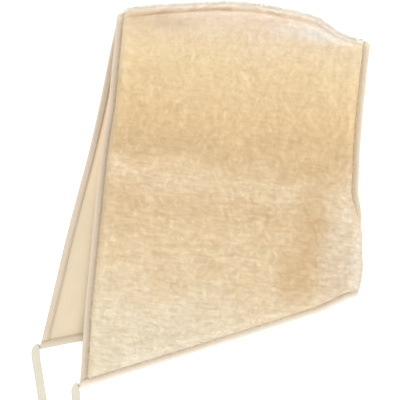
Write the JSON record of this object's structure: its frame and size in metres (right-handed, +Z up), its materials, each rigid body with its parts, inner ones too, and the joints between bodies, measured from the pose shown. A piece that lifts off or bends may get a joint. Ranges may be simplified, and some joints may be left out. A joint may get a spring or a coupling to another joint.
{
  "type": "seat belt pad",
  "caption": "wool fleece pad with a smooth lining, folded over a belt, with taped edges and a strap loop joining its long corners",
  "frame": {"origin": "under the middle of the folded pad's box, on the surface it lies on", "axes": "+X along the fold from the long side to the short side, +Y towards the fold, +Z up out of the upper panel"},
  "size_m": [0.2608, 0.3903, 0.0265],
  "materials": {
    "wool_fleece": "deep wool pile",
    "lining_cloth": "smooth matt cloth",
    "binding_tape": "matt woven tape",
    "strap_tape": "matt woven tape"
  },
  "bodies": {
    "root": {"fleece": "wool_fleece", "lining": "lining_cloth", "binding_long_side": "binding_tape", "binding_short_side": "binding_tape", "binding_upper_end": "binding_tape", "binding_lower_end": "binding_tape", "strap_loop": "strap_tape"}
  },
  "joints": []
}
